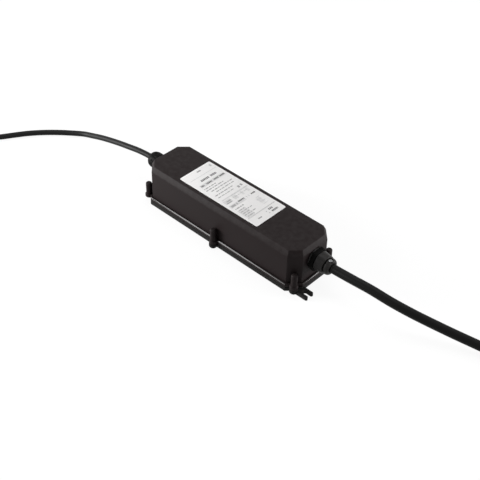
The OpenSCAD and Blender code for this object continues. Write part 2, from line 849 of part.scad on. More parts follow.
rectifier = [19, 4.5, 13];
rectifier_y = 13.5;
module bridge_rectifier() {
    color("#1f1f1f") on_board([bulk_x, rectifier_y], rectifier);
}

module bulk_capacitor() {
    color("#2d3440") translate([bulk_x, -8, board_top]) difference() {
        cylinder(h = bulk_h, d = bulk_d);
        for (turn = [0, 90]) rotate([0, 0, turn]) translate([-bulk_d / 4, -0.3, bulk_h - 0.4])
            cube([bulk_d / 2, 0.6, 1]);
    }
}

// A power device in an upright plate package, its back against a heat sink, standing on three legs
device_w = 10;
device_h = 15.5;
device_z = 4;
module power_device(x, facing) {
    translate([x, 0, board_top]) {
        translate([facing > 0 ? 0 : -device_t, -device_w / 2, device_z]) cube([device_t, device_w, device_h]);
        for (k = [-1 : 1]) translate([facing * device_t / 2 - 0.4, 2.54 * k - 0.4, 0])
            cube([0.8, 0.8, device_z]);
    }
}

// Heat sink plate with short fins on the side away from its device
sink_w = 36;
fin_t = 1.2;
fin_pitch = 8;
module heat_sink(x, facing) {
    back = facing > 0 ? x - sink_t : x;
    translate([back, -sink_w / 2, board_top]) cube([sink_t, sink_w, sink_h]);
    for (k = [-2 : 2])
        translate([facing > 0 ? back - fin_out : back + sink_t, k * fin_pitch - fin_t / 2, board_top])
        cube([fin_out, fin_t, sink_h]);
}

module switching_transistor() {
    color("#242424") power_device(transistor_x, 1);
}

module transistor_heat_sink() {
    color("#b4b7ba") heat_sink(transistor_x, 1);
}

module output_diode() {
    color("#242424") power_device(diode_x, -1);
}

module diode_heat_sink() {
    color("#b4b7ba") heat_sink(diode_x, -1);
}

// Ferrite core with a window on each side of its middle limb
window_y = (core_y - 3 * limb) / 2;
window_z = core_z - 2 * limb;
module transformer_core() {
    color("#3b3d40") difference() {
        on_board([transformer_x, 0], [core_x, core_y, core_z]);
        for (s = [-1, 1])
            translate([transformer_x - core_x, s * (limb + window_y) / 2 - window_y / 2, board_top + limb])
            cube([2 * core_x, window_y, window_z]);
    }
}

// Coil round the middle limb, standing on the core's lower yoke
module transformer_winding() {
    gap = slide_gap;
    color("#d9b84a") difference() {
        translate([transformer_x - coil_half, gap - limb / 2 - window_y, board_top + limb])
            cube([2 * coil_half, limb + 2 * window_y - 2 * gap, window_z - gap]);
        translate([transformer_x - core_x / 2 - gap, -limb / 2 - gap, board_top])
            cube([core_x + 2 * gap, limb + 2 * gap, core_z]);
    }
}

safety_d = 10;
safety_t = 4;
module safety_capacitors() {
    y = core_y / 2 + part_gap + safety_t / 2;
    color("#3f78b8") for (s = [-1, 1]) translate([transformer_x, s * y, board_top + safety_d / 2])
        rotate([90, 0, 0]) cylinder(h = safety_t, d = safety_d, center = true);
}

module output_capacitors() {
    y = terminal_pitch + 1 + out_cap_d / 2;
    color("#2d3440") for (s = [-1, 1]) translate([out_cap_x, s * y, board_top])
        cylinder(h = out_cap_h, d = out_cap_d);
}

module optocoupler() {
    color("#232323") on_board([transistor_x + device_t / 2 + 0.5, -device_w - 5], [4.6, 6.5, 3.5]);
}

module control_chip() {
    color("#232323") on_board([choke_x, 2 - top_w / 2 + board_in + 3], [5, 4, 1.6]);
}

cover();
base_plate();
gasket();
cover_screws();
label();
mains_gland_body();
mains_gland_washer();
mains_gland_locknut();
mains_gland_seal();
mains_gland_nut();
strain_relief_collar();
pressure_saddle();
pinch_screw();
output_gland_body();
output_gland_washer();
output_gland_locknut();
output_gland_seal();
output_gland_nut();
mains_cable();
mains_cores();
mains_core_tips();
output_cable();
output_cores();
output_core_tips();
circuit_board();
board_screws();
insulating_sheet();
input_terminal();
output_terminal();
mains_inner_wires();
output_inner_wires();
fuse();
varistor();
interference_capacitor();
choke_ring();
choke_windings();
bridge_rectifier();
bulk_capacitor();
switching_transistor();
transistor_heat_sink();
transformer_core();
transformer_winding();
safety_capacitors();
output_diode();
diode_heat_sink();
output_capacitors();
optocoupler();
control_chip();
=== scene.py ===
# %% [markdown]
# Dressing a sealed LED driver
#
# The object is a black moulded box with a cable gland and a rubber lead at each end.
# Its exact solids come in as a ready frame, and this file gives them rounded edges, finishes, print and
# light. Each step first says what the piece is on the real object, and then makes it.

from math import cos, radians, sin

import bmesh
import bpy
from mathutils import Matrix, Vector


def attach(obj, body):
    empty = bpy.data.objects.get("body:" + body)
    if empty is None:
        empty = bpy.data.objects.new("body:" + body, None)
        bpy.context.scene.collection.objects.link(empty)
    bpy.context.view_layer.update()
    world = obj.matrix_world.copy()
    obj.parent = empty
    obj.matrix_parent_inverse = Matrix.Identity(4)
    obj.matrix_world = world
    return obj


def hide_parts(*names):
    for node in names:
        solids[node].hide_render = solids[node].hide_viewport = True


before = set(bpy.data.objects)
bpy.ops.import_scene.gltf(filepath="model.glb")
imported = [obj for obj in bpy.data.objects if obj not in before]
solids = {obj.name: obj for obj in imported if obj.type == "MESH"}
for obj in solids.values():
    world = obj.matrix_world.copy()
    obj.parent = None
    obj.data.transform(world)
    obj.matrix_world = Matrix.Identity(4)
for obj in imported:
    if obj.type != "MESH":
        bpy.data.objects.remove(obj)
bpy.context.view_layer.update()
MM = 0.001

# %% [markdown]
# The camera stands in front of the mains end and looks down on the box.
# A camera can be turned with Euler angles, but a matrix built from its own three axes is easier to trust:
# one axis points back along the view, one to the right and one up, and a small roll tilts the last two.

# %% Camera
AZIMUTH = radians(42.44)
ELEVATION = radians(41.09)
ROLL = radians(1.43)
CAMERA_SPOT = (0.497, -0.536, 0.626)
SENSOR_WIDTH = 36
IMAGE_WIDTH = 480
FOCAL_PIXELS = 947

back = Vector((sin(AZIMUTH) * cos(ELEVATION), -cos(AZIMUTH) * cos(ELEVATION), sin(ELEVATION)))
right = Vector((cos(AZIMUTH), sin(AZIMUTH), 0))
up = back.cross(right)
axis_x = cos(ROLL) * right + sin(ROLL) * up
axis_y = cos(ROLL) * up - sin(ROLL) * right
camera_turn = Matrix((axis_x, axis_y, back)).transposed().to_4x4()
camera_data = bpy.data.cameras.new("photo_camera")
camera_data.sensor_width = SENSOR_WIDTH
camera_data.lens = SENSOR_WIDTH * FOCAL_PIXELS / IMAGE_WIDTH
camera_data.clip_start = 0.01
camera = bpy.data.objects.new("photo_camera", camera_data)
bpy.context.scene.collection.objects.link(camera)
camera.matrix_world = Matrix.Translation(CAMERA_SPOT) @ camera_turn
bpy.context.scene.camera = camera
print("camera lens", round(camera_data.lens, 1), "mm")

# %% [markdown]
# The two leads are rubber sheathed cables. Each runs straight out of its gland, sinks under its own weight
# and then lies on the table. A lead like this could be a swept mesh, but a curve with a round bevel keeps its
# centre line, so its length and its bends can be measured. The points follow the route of the solids, in
# millimetres: distance out from the end wall, sideways, and height.

# %% Cable routes
WALL_X = 102.8 * MM
MAINS_DIAMETER = 9.2 * MM
OUTPUT_DIAMETER = 6.2 * MM
mains_points = [
    (-17, 0, 29.6), (3, 0, 29.6), (24, 0, 29.6), (43, 1, 29.5), (64, 3.5, 28.2), (85, 6.5, 25),
    (105, 12, 20.5), (124, 19, 15.5), (143, 26, 11), (162, 32.5, 7.5), (182, 38, 5.2), (203, 40, 4.7),
    (224, 37, 4.7), (242, 28, 4.7), (254, 12, 4.7), (260, -8, 4.7), (261, -29, 4.7), (260.5, -38, 4.7),
]
output_points = [
    (-15, 0, 29.6), (4, 0, 29.6), (23.5, 0, 29.6), (40, -0.3, 28.3), (56, -0.5, 25.4), (72, -0.4, 22),
    (88, -0.2, 18), (104, -0.2, 13.6), (119, -0.6, 9), (133, -2.2, 5.3), (146, -9, 3.6), (158, -18.5, 3.2),
    (170, -30.5, 3.2), (181, -44, 3.2), (190, -58, 3.2), (198, -71, 3.2), (208, -83, 3.2), (220, -93, 3.2),
    (234, -100, 3.2), (249, -104, 3.2), (265, -105, 3.2), (280, -104.5, 3.2),
]
mains_route = [Vector((WALL_X + d * MM, y * MM, z * MM)) for d, y, z in mains_points]
output_route = [Vector((-WALL_X - d * MM, y * MM, z * MM)) for d, y, z in output_points]


def route_length(route):
    return sum((b - a).length for a, b in zip(route, route[1:]))


print("mains route", round(route_length(mains_route), 4), "m")
print("output route", round(route_length(output_route), 4), "m")

# %% [markdown]
# Each route becomes a Bezier curve, whose handles lie along the line between the two neighbours of a point.
# A handle that reaches a sixth of that line gives a smooth run. The bevel has a depth of one metre, and every
# point scales it down to the radius of the cable, because Blender counts the radius of the points when it
# works out the box round a curve.

# %% Cable curves
HANDLE_DIVISOR = 6


def lay_cable(name, route, diameter):
    """A round cable along a route, which moves with the housing."""
    curve = bpy.data.curves.new(name, "CURVE")
    curve.dimensions = "3D"
    curve.bevel_depth = 1
    curve.bevel_resolution = 8
    curve.resolution_u = 8
    curve.use_fill_caps = True
    spline = curve.splines.new("BEZIER")
    spline.bezier_points.add(len(route) - 1)
    for index, point in enumerate(spline.bezier_points):
        before = route[max(index - 1, 0)]
        after = route[min(index + 1, len(route) - 1)]
        reach = (after - before) / HANDLE_DIVISOR
        point.co = route[index]
        point.radius = diameter / 2
        point.handle_left = route[index] - reach
        point.handle_right = route[index] + reach
    cable = bpy.data.objects.new(name, curve)
    bpy.context.scene.collection.objects.link(cable)
    bpy.context.view_layer.update()
    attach(cable, "root")
    print("laid", name, "with", len(route), "points")
    return cable


mains_lead = lay_cable("mains_lead", mains_route, MAINS_DIAMETER)
output_lead = lay_cable("output_lead", output_route, OUTPUT_DIAMETER)
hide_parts("mains_cable")
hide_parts("output_cable")

# %% [markdown]
# Finishes next. Nearly every surface here is moulded plastic, rubber or metal, and they share three effects:
# a fine grain with slow clouds of tone, a worn look on rounded edges, and fine drawn lines on metal.
# Each effect is a node group with named sockets, so a material only says its own colours and scales.
# A few helpers come first, because adding, setting and linking a node takes several lines each time.

# %% Node helpers
# Sockets of a Mix node in colour mode: factor, both colours, and the result among its outputs.
MIX_FACTOR = 0
MIX_LOW = 6
MIX_HIGH = 7
MIX_RESULT = 2


def feed(tree, made, inputs):
    """Links each input of a node to the socket that is given, or sets it to the value."""
    for key, value in inputs.items():
        if isinstance(value, bpy.types.NodeSocket):
            tree.links.new(value, made.inputs[key])
        else:
            made.inputs[key].default_value = value
    return made


def wire(tree, kind, inputs=None, **settings):
    """Adds a shader node, sets its fields, and sets or links its inputs."""
    made = tree.nodes.new("ShaderNode" + kind)
    for key, value in settings.items():
        setattr(made, key, value)
    return feed(tree, made, inputs or {})


def new_group(name, inputs, outputs):
    """A shader node group with its sockets, its input node and its output node."""
    tree = bpy.data.node_groups.new(name, "ShaderNodeTree")
    for label, kind in inputs:
        tree.interface.new_socket(label, in_out="INPUT", socket_type="NodeSocket" + kind)
    for label, kind in outputs:
        tree.interface.new_socket(label, in_out="OUTPUT", socket_type="NodeSocket" + kind)
    return tree, tree.nodes.new("NodeGroupInput"), tree.nodes.new("NodeGroupOutput")


def mixed(tree, factor, low, high, blend="MIX"):
    """Colour between low and high, or high laid over low by another blend."""
    inputs = {MIX_FACTOR: factor, MIX_LOW: low, MIX_HIGH: high}
    return wire(tree, "Mix", inputs, data_type="RGBA", blend_type=blend).outputs[MIX_RESULT]


print("node helpers are ready")

# %% [markdown]
# The grain stands for the fine texture that a mould leaves. A picture could give it, but noise has no seams
# and no end. A slow noise for clouds and a fast one for grain are added, and their sum sets both the colour
# and the roughness, so that paler spots are rougher too. The sum mostly stays between two values named here.

# %% Group: grain of a moulded or coated surface
PATTERN_LOW = 0.7
PATTERN_HIGH = 1.3
TONE_INPUTS = [("Dark", "Color"), ("Light", "Color"), ("Smooth", "Float"), ("Rough", "Float")]
TONE_OUTPUTS = [("Color", "Color"), ("Roughness", "Float"), ("Height", "Float")]


def put_out_tone(tree, start, end, pattern, height):
    """Spreads a pattern over two colours and two roughnesses, and puts them out with a height."""
    spread = wire(tree, "MapRange", {"Value": pattern, "From Min": PATTERN_LOW, "From Max": PATTERN_HIGH})
    rough = wire(tree, "MapRange", {
        "Value": pattern, "From Min": PATTERN_LOW, "From Max": PATTERN_HIGH,
        "To Min": start.outputs["Smooth"], "To Max": start.outputs["Rough"],
    })
    colour = mixed(tree, spread.outputs[0], start.outputs["Dark"], start.outputs["Light"])
    feed(tree, end, {"Color": colour, "Roughness": rough.outputs[0], "Height": height})


def make_grain():
    own_inputs = [("Vector", "Vector"), ("Cloud scale", "Float"), ("Grain scale", "Float")]
    tree, start, end = new_group("surface_grain", own_inputs + TONE_INPUTS, TONE_OUTPUTS)
    place = start.outputs["Vector"]
    cloud = wire(tree, "TexNoise", {"Vector": place, "Scale": start.outputs["Cloud scale"], "Detail": 4.0})
    grain = wire(tree, "TexNoise", {"Vector": place, "Scale": start.outputs["Grain scale"], "Detail": 2.0})
    both = wire(tree, "Math", {0: cloud.outputs[0], 1: grain.outputs[0]}, operation="ADD")
    put_out_tone(tree, start, end, both.outputs[0], grain.outputs[0])
    return tree


grain_group = make_grain()
print("group", grain_group.name, "has", len(grain_group.nodes), "nodes")

# %% [markdown]
# Handling rubs the edges of a box first, and never evenly. The mask is therefore the number that marks the
# rounded edges, times a noise that leaves some patches untouched.

# %% Group: rubbed edges
def make_rub():
    inputs = [("Vector", "Vector"), ("Edge", "Float"), ("Patch scale", "Float")]
    tree, start, end = new_group("rubbed_edge", inputs, [("Mask", "Float")])
    patches = wire(tree, "TexNoise", {
        "Vector": start.outputs["Vector"], "Scale": start.outputs["Patch scale"], "Detail": 5.0,
    })
    kept = wire(tree, "MapRange", {"Value": patches.outputs[0], "From Min": 0.35, "From Max": 0.7})
    mask = wire(tree, "Math", {0: kept.outputs[0], 1: start.outputs["Edge"]}, operation="MULTIPLY")
    feed(tree, end, {"Mask": mask.outputs[0]})
    return tree


rub_group = make_rub()
print("group", rub_group.name, "has", len(rub_group.nodes), "nodes")

# %% [markdown]
# Drawn or rolled metal has fine lines along one direction. Squeezing the coordinates of a noise along that
# direction stretches its spots into such lines, and a second noise adds faint stains.

# %% Group: drawn metal
LINE_SQUEEZE = (1.0, 1.0, 0.08)
STAIN_SCALE = 320.0


def make_drawn():
    own_inputs = [("Vector", "Vector"), ("Line scale", "Float")]
    tree, start, end = new_group("drawn_metal", own_inputs + TONE_INPUTS, TONE_OUTPUTS)
    place = start.outputs["Vector"]
    squeezed = wire(tree, "Mapping", {"Vector": place, "Scale": LINE_SQUEEZE})
    lines = wire(tree, "TexNoise", {
        "Vector": squeezed.outputs[0], "Scale": start.outputs["Line scale"], "Detail": 3.0,
    })
    stains = wire(tree, "TexNoise", {"Vector": place, "Scale": STAIN_SCALE, "Detail": 4.0})
    both = wire(tree, "Math", {0: lines.outputs[0], 1: stains.outputs[0]}, operation="ADD")
    put_out_tone(tree, start, end, both.outputs[0], lines.outputs[0])
    return tree


drawn_group = make_drawn()
print("group", drawn_group.name, "has", len(drawn_group.nodes), "nodes")

# %% [markdown]
# Every finish starts in the same way: a Principled shader, an output, and the object coordinates, which stay
# with a piece when it is moved. UV maps could carry the patterns too, but these need no unwrapping. The
# groups are then placed in the material, and the shader itself stays outside of them.

# %% Material helpers
def start_material(name):
    """An empty material with a Principled shader, and the object coordinates that its patterns read."""
    made = bpy.data.materials.new(name)
    made.use_nodes = True
    tree = made.node_tree
    tree.nodes.clear()
    shader = wire(tree, "BsdfPrincipled")
    wire(tree, "OutputMaterial", {"Surface": shader.outputs[0]})
    return made, tree, shader, wire(tree, "TexCoord").outputs["Object"]


def bump_from(tree, height, shader, strength, depth):
    bump = wire(tree, "Bump", {"Height": height, "Strength": strength, "Distance": depth})
    feed(tree, shader, {"Normal": bump.outputs[0]})


def colour4(rgb):
    return (rgb[0], rgb[1], rgb[2], 1.0)


def placed_group(tree, group, inputs):
    made = tree.nodes.new("ShaderNodeGroup")
    made.node_tree = group
    return feed(tree, made, inputs)


def grain_over(tree, place, dark, light, smooth, rough, grain, cloud):
    """The shared grain, with two colours, a range of roughness and the scales of its two noises."""
    return placed_group(tree, grain_group, {
        "Vector": place, "Cloud scale": cloud, "Grain scale": grain,
        "Dark": colour4(dark), "Light": colour4(light), "Smooth": smooth, "Rough": rough,
    })


def rubbed(tree, place, colour, rub, patches):
    """The colour, rubbed brighter in patches on the faces that carry the edge number."""
    edge = wire(tree, "Attribute", attribute_name="edge")
    worn = placed_group(tree, rub_group, {
        "Vector": place, "Edge": edge.outputs["Fac"], "Patch scale": patches,
    })
    return mixed(tree, worn.outputs["Mask"], colour, colour4(rub))


print("material helpers are ready")

# %% [markdown]
# The plain finishes: plastics, rubbers, coatings and enamels differ only in colour, gloss and grain, so one
# function makes them all. A call gives a dark and a light colour, then the smoothest and the roughest spot.
# Rounded edges carry a number called edge, which is 1 on the faces of a rounding and 0 elsewhere. There the
# colour is rubbed a little brighter, as handling does.

# %% Grained finishes
def grained(name, dark, light, smooth, rough, grain=2600.0, cloud=70.0, bump=0.25, specular=0.5, rub=None):
    """A plain moulded or coated finish."""
    made, tree, shader, place = start_material(name)
    surface = grain_over(tree, place, dark, light, smooth, rough, grain, cloud)
    colour = surface.outputs["Color"]
    if rub:
        colour = rubbed(tree, place, colour, rub, patches=240.0)
    feed(tree, shader, {
        "Base Color": colour, "Roughness": surface.outputs["Roughness"], "Specular IOR Level": specular,
    })
    bump_from(tree, surface.outputs["Height"], shader, strength=bump, depth=0.1 * MM)
    return made


GLAND_GRAIN = {"grain": 1800.0, "cloud": 90.0, "bump": 0.2}
SHEATH_GRAIN = {"grain": 2200.0, "cloud": 60.0, "bump": 0.2}
# Painted light and shade: both nuts are one polyamide. The lighter copy on the mains nut and the collar is
# painted a little lighter, and the darker copy on the output nut is painted shade, because the low left lamp
# lights that nut strongly.
gland_plastic = grained("gland_polyamide", (0.0128, 0.0118, 0.0112), (0.0165, 0.0152, 0.0146), 0.4, 0.5,
                        specular=0.14, rub=(0.023, 0.0215, 0.0205), **GLAND_GRAIN)
gland_nut_painted_shade = grained("gland_nut_painted_shade", (0.0031, 0.003, 0.0028), (0.0043, 0.0041, 0.0039), 0.45, 0.55,
                     specular=0.06, rub=(0.008, 0.0077, 0.0074), **GLAND_GRAIN)
# Painted shade: the hexagon bodies are partly a darker black plastic and partly painted near black for the
# deep shade where they meet the end walls.
gland_shade = grained("gland_body_black_and_painted_shade", (0.0012, 0.0011, 0.001), (0.002, 0.0019, 0.0018), 0.6, 0.7,
                      specular=0.04, rub=(0.004, 0.0038, 0.0036), **GLAND_GRAIN)
seal_rubber = grained("seal_rubber", (0.008, 0.008, 0.008), (0.016, 0.016, 0.016), 0.55, 0.8,
                      grain=1500.0, cloud=120.0)
# Painted shade: the two sheaths differ partly as their own finishes and partly as lit and shaded copies. The
# mains sheath is painted darker for the less lit mains end.
mains_sheath = grained("mains_sheath", (0.0026, 0.0026, 0.0025), (0.004, 0.004, 0.0038), 0.4, 0.5,
                       specular=0.1, **SHEATH_GRAIN)
output_sheath = grained("output_sheath", (0.0066, 0.0066, 0.0065), (0.0096, 0.0096, 0.0095), 0.45, 0.56,
                        specular=0.12, **SHEATH_GRAIN)
print("made", len(bpy.data.materials), "materials so far")

# %% [markdown]
# Inside the box each kind of part has its usual colour: blue coating on varistors, yellow cases on capacitors
# against interference, grey ferrite, black epoxy. The colours of the cores tell the wires apart. All come
# from the same function, with a finer or coarser grain.

# %% Plastics and coatings of the inner parts
insulation_film = grained("insulating_film", (0.62, 0.56, 0.40), (0.78, 0.73, 0.58), 0.3, 0.45,
                          grain=500.0, cloud=40.0)
terminal_plastic = grained("terminal_plastic", (0.03, 0.20, 0.05), (0.06, 0.30, 0.08), 0.35, 0.5,
                           grain=1800.0)
varistor_coat = grained("varistor_coat", (0.015, 0.06, 0.26), (0.03, 0.11, 0.38), 0.25, 0.45,
                        grain=700.0, cloud=160.0, bump=0.5)
capacitor_case = grained("capacitor_case", (0.55, 0.38, 0.03), (0.72, 0.52, 0.06), 0.3, 0.45, grain=1200.0)
ferrite = grained("ferrite", (0.035, 0.037, 0.04), (0.07, 0.073, 0.08), 0.5, 0.75,
                  grain=900.0, cloud=200.0, bump=0.6)
device_epoxy = grained("device_epoxy", (0.010, 0.010, 0.010), (0.022, 0.022, 0.022), 0.45, 0.65,
                       grain=2400.0)
capacitor_sleeve = grained("capacitor_sleeve", (0.012, 0.018, 0.035), (0.022, 0.032, 0.06), 0.2, 0.35,
                           grain=600.0, cloud=50.0)
fuse_ceramic = grained("fuse_ceramic", (0.60, 0.58, 0.52), (0.76, 0.74, 0.68), 0.2, 0.4,
                       grain=900.0, cloud=150.0)
core_brown = grained("core_brown", (0.085, 0.032, 0.012), (0.13, 0.052, 0.02), 0.35, 0.5)
core_blue = grained("core_blue", (0.012, 0.05, 0.24), (0.022, 0.08, 0.34), 0.35, 0.5)
core_red = grained("core_red", (0.26, 0.012, 0.010), (0.38, 0.024, 0.018), 0.35, 0.5)
core_black = grained("core_black", (0.010, 0.010, 0.010), (0.020, 0.020, 0.020), 0.35, 0.5)
print("made", len(bpy.data.materials), "materials so far")

# %% [markdown]
# The housing is the surface that the eye sees most: a matte grain on the walls and the top, which scatters
# light so well that black looks charcoal. The chamfer along the flange looks smooth, so it mirrors a lamp as
# one bright line. It could be a second material, but a number on its faces, called strip, keeps the cover in
# one: it sets how much of a clear coat a face gets, so the ends can shine less than the sides.

# %% Housing finish
def housing_finish(name, dark, light, rub):
    """Matte grained black, with rubbed edges and a glossy strip."""
    made, tree, shader, place = start_material(name)
    surface = grain_over(tree, place, dark, light, smooth=0.57, rough=0.59, grain=1700.0, cloud=26.0)
    strip = wire(tree, "Attribute", attribute_name="strip")
    feed(tree, shader, {
        "Base Color": rubbed(tree, place, surface.outputs["Color"], rub, patches=190.0),
        "Roughness": surface.outputs["Roughness"], "Specular IOR Level": 0.1,
        "Coat Weight": strip.outputs["Fac"], "Coat Roughness": 0.12,
    })
    bump_from(tree, surface.outputs["Height"], shader, strength=0.1, depth=0.1 * MM)
    return made


housing_black = housing_finish("housing_black", (0.0113, 0.0076, 0.0077), (0.0119, 0.0081, 0.0082),
                               rub=(0.0195, 0.0155, 0.0155))
base_black = grained("base_black", (0.0088, 0.0082, 0.008), (0.0118, 0.011, 0.0108), 0.55, 0.66,
                     grain=1700.0, cloud=30.0, bump=0.3, specular=0.1, rub=(0.02, 0.0185, 0.018))
print("made", housing_black.name, "and", base_black.name)

# %% [markdown]
# The metals are zinc plated screws, a brass saddle, tinned copper strands and aluminium heat sinks. They
# differ in tint and gloss but all show the lines of drawing or rolling, so they share one group.

# %% Metals
def metal(name, dark, light, smooth, rough, lines=2400.0, bump=0.15):
    """A bare or plated metal with drawn lines."""
    made, tree, shader, place = start_material(name)
    surface = placed_group(tree, drawn_group, {
        "Vector": place, "Line scale": lines, "Dark": colour4(dark), "Light": colour4(light),
        "Smooth": smooth, "Rough": rough,
    })
    feed(tree, shader, {
        "Base Color": surface.outputs["Color"], "Roughness": surface.outputs["Roughness"], "Metallic": 1.0,
    })
    bump_from(tree, surface.outputs["Height"], shader, strength=bump, depth=0.05 * MM)
    return made


zinc_steel = metal("zinc_steel", (0.26, 0.265, 0.27), (0.40, 0.405, 0.41), 0.28, 0.42)
saddle_brass = metal("saddle_brass", (0.52, 0.34, 0.10), (0.68, 0.47, 0.16), 0.25, 0.42)
tinned_copper = metal("tinned_copper", (0.50, 0.48, 0.45), (0.70, 0.68, 0.65), 0.25, 0.45,
                      lines=5200.0, bump=0.5)
sink_aluminium = metal("sink_aluminium", (0.48, 0.49, 0.50), (0.66, 0.67, 0.68), 0.3, 0.5, lines=1600.0)
print("made", zinc_steel.name, saddle_brass.name, tinned_copper.name, sink_aluminium.name)

# %% [markdown]
# The coils inside the box are turns of enamelled wire or of tape. Each turn could be modelled, but nobody
# sees them from outside, so bands across one axis darken the colour between the turns and raise a bump.

# %% Wound wire and tape
def banded(name, axis, scale, dark, light, metallic):
    """Turns of wire or tape: bands across one axis, with the shared grain under them."""
    made, tree, shader, place = start_material(name)
    surface = grain_over(tree, place, dark, light, smooth=0.2, rough=0.35, grain=1800.0, cloud=150.0)
    bands = wire(tree, "TexWave", {"Vector": place, "Scale": scale, "Distortion": 0.4}, bands_direction=axis)
    lines = wire(tree, "MapRange", {"Value": bands.outputs["Fac"], "To Min": 0.45, "To Max": 1.0})
    feed(tree, shader, {
        "Base Color": mixed(tree, 1.0, surface.outputs["Color"], lines.outputs[0], blend="MULTIPLY"),
        "Roughness": surface.outputs["Roughness"], "Metallic": metallic,
    })
    bump_from(tree, bands.outputs["Fac"], shader, strength=0.4, depth=0.2 * MM)
    return made


winding_wire = banded("winding_wire", "Z", 260.0, (0.34, 0.13, 0.04), (0.52, 0.22, 0.07), metallic=0.8)
coil_tape = banded("coil_tape", "Z", 90.0, (0.58, 0.40, 0.06), (0.74, 0.55, 0.12), metallic=0.0)
print("made", winding_wire.name, "and", coil_tape.name)

# %% [markdown]
# The circuit board is a green lacquer over copper. Brick mortar makes a net of tracks, and the cells of a
# Voronoi texture hold one round pad each, which is metal in the shader as it is on the board.

# %% Circuit board
TRACK_GREEN = (0.03, 0.16, 0.06)
PAD_TIN = (0.55, 0.55, 0.54)
PAD_RADIUS = 0.13


def board_finish():
    """Green solder mask with paler tracks in a grid and tinned pads."""
    made, tree, shader, place = start_material("board_mask")
    surface = grain_over(tree, place, (0.010, 0.065, 0.022), (0.016, 0.095, 0.034),
                         smooth=0.2, rough=0.35, grain=900.0, cloud=60.0)
    tracks = wire(tree, "TexBrick", {"Vector": place, "Scale": 110.0, "Mortar Size": 0.06})
    tracked = mixed(tree, tracks.outputs["Fac"], surface.outputs["Color"], colour4(TRACK_GREEN))
    pads = wire(tree, "TexVoronoi", {"Vector": place, "Scale": 190.0})
    tinned = wire(tree, "Math", {0: pads.outputs["Distance"], 1: PAD_RADIUS}, operation="LESS_THAN")
    feed(tree, shader, {
        "Base Color": mixed(tree, tinned.outputs[0], tracked, colour4(PAD_TIN)),
        "Roughness": surface.outputs["Roughness"], "Metallic": tinned.outputs[0],
    })
    bump_from(tree, tracks.outputs["Fac"], shader, strength=0.2, depth=0.04 * MM)
    return made


board_mask = board_finish()
print("made", board_mask.name)

# %% [markdown]
# The earth core of a mains lead is green with a yellow stripe that winds along it. The pattern is moved to
# the end of the lead and turned along it, and the angle round the core plus a twist for each metre gives a
# wave that is yellow where it is high.

# %% Earth core
STRIPE_YELLOW = (0.62, 0.50, 0.02)
STRIPE_TWIST = 190.0


def striped_core(name, centre, turn):
    """Green sheath with a yellow stripe that winds slowly round the core."""
    made, tree, shader, place = start_material(name)
    local = wire(tree, "Mapping", {"Vector": place, "Location": -centre}, vector_type="POINT")
    turned = wire(tree, "VectorRotate", {"Vector": local.outputs[0], "Angle": -turn}, rotation_type="Z_AXIS")
    parts = wire(tree, "SeparateXYZ", {0: turned.outputs[0]})
    angle = wire(tree, "Math", {0: parts.outputs["Z"], 1: parts.outputs["Y"]}, operation="ARCTAN2")
    twist = wire(tree, "Math", {
        0: parts.outputs["X"], 1: STRIPE_TWIST, 2: angle.outputs[0],
    }, operation="MULTIPLY_ADD")
    wave = wire(tree, "Math", {0: twist.outputs[0]}, operation="SINE")
    stripe = wire(tree, "MapRange", {"Value": wave.outputs[0], "From Min": 0.05, "From Max": 0.15})
    surface = grain_over(tree, place, (0.01, 0.12, 0.025), (0.016, 0.17, 0.04),
                         smooth=0.35, rough=0.5, grain=2600.0, cloud=90.0)
    feed(tree, shader, {
        "Base Color": mixed(tree, stripe.outputs[0], surface.outputs["Color"], colour4(STRIPE_YELLOW)),
        "Roughness": surface.outputs["Roughness"],
    })
    bump_from(tree, surface.outputs["Height"], shader, strength=0.25, depth=0.1 * MM)
    return made


last_run = mains_route[-1] - mains_route[-2]
last_turn = last_run.to_2d().angle_signed(Vector((1, 0)))
earth_stripe = striped_core("core_green_yellow", mains_route[-1], last_turn)
print("made", earth_stripe.name)

# %% [markdown]
# The label is a white plastic film, and its print has four depths: black for titles, grey for small print,
# a paler grey for faint marks, and a haze for print too fine to see as strokes. One grained finish each is
# enough, since at this size ink shows only its tone.

# %% Label film and inks
INK_GRAIN = {"grain": 3000.0, "cloud": 500.0, "bump": 0.2, "specular": 0.3}
label_film = grained("label_film", (0.85, 0.838, 0.832), (0.90, 0.888, 0.884), 0.34, 0.46,
                     grain=900.0, cloud=35.0, bump=0.08, specular=0.4)
ink_black = grained("ink_black", (0.03, 0.03, 0.032), (0.06, 0.06, 0.062), 0.4, 0.6, **INK_GRAIN)
ink_grey = grained("ink_grey", (0.34, 0.335, 0.335), (0.46, 0.455, 0.455), 0.4, 0.6, **INK_GRAIN)
ink_pale = grained("ink_pale", (0.54, 0.535, 0.535), (0.64, 0.635, 0.635), 0.4, 0.6, **INK_GRAIN)
ink_haze = grained("ink_haze", (0.68, 0.672, 0.67), (0.75, 0.742, 0.74), 0.4, 0.6, **INK_GRAIN)
print("made", label_film.name, "and four inks")

# %% [markdown]
# The moulded parts come from tools with small radii on every outer edge, and those radii catch the light.
# The solids have knife edges, so each visible one is copied, its loose triangles are welded and flattened
# into whole faces, and its convex edges are bevelled in edit mode. A Bevel modifier could do it too, but here
# the new faces are still selected after the bevel, so they can be marked for the finishes. Concave edges stay
# sharp, because they lie in shade and a rounding there would hardly show.

# %% Copy and weld a solid
WELD_DISTANCE = 0.004 * MM
FLAT_ANGLE = radians(0.4)


def alone(piece):
    """Deselects everything, then makes this piece the only selected and active one."""
    bpy.ops.object.select_all(action="DESELECT")
    piece.select_set(True)
    bpy.context.view_layer.objects.active = piece


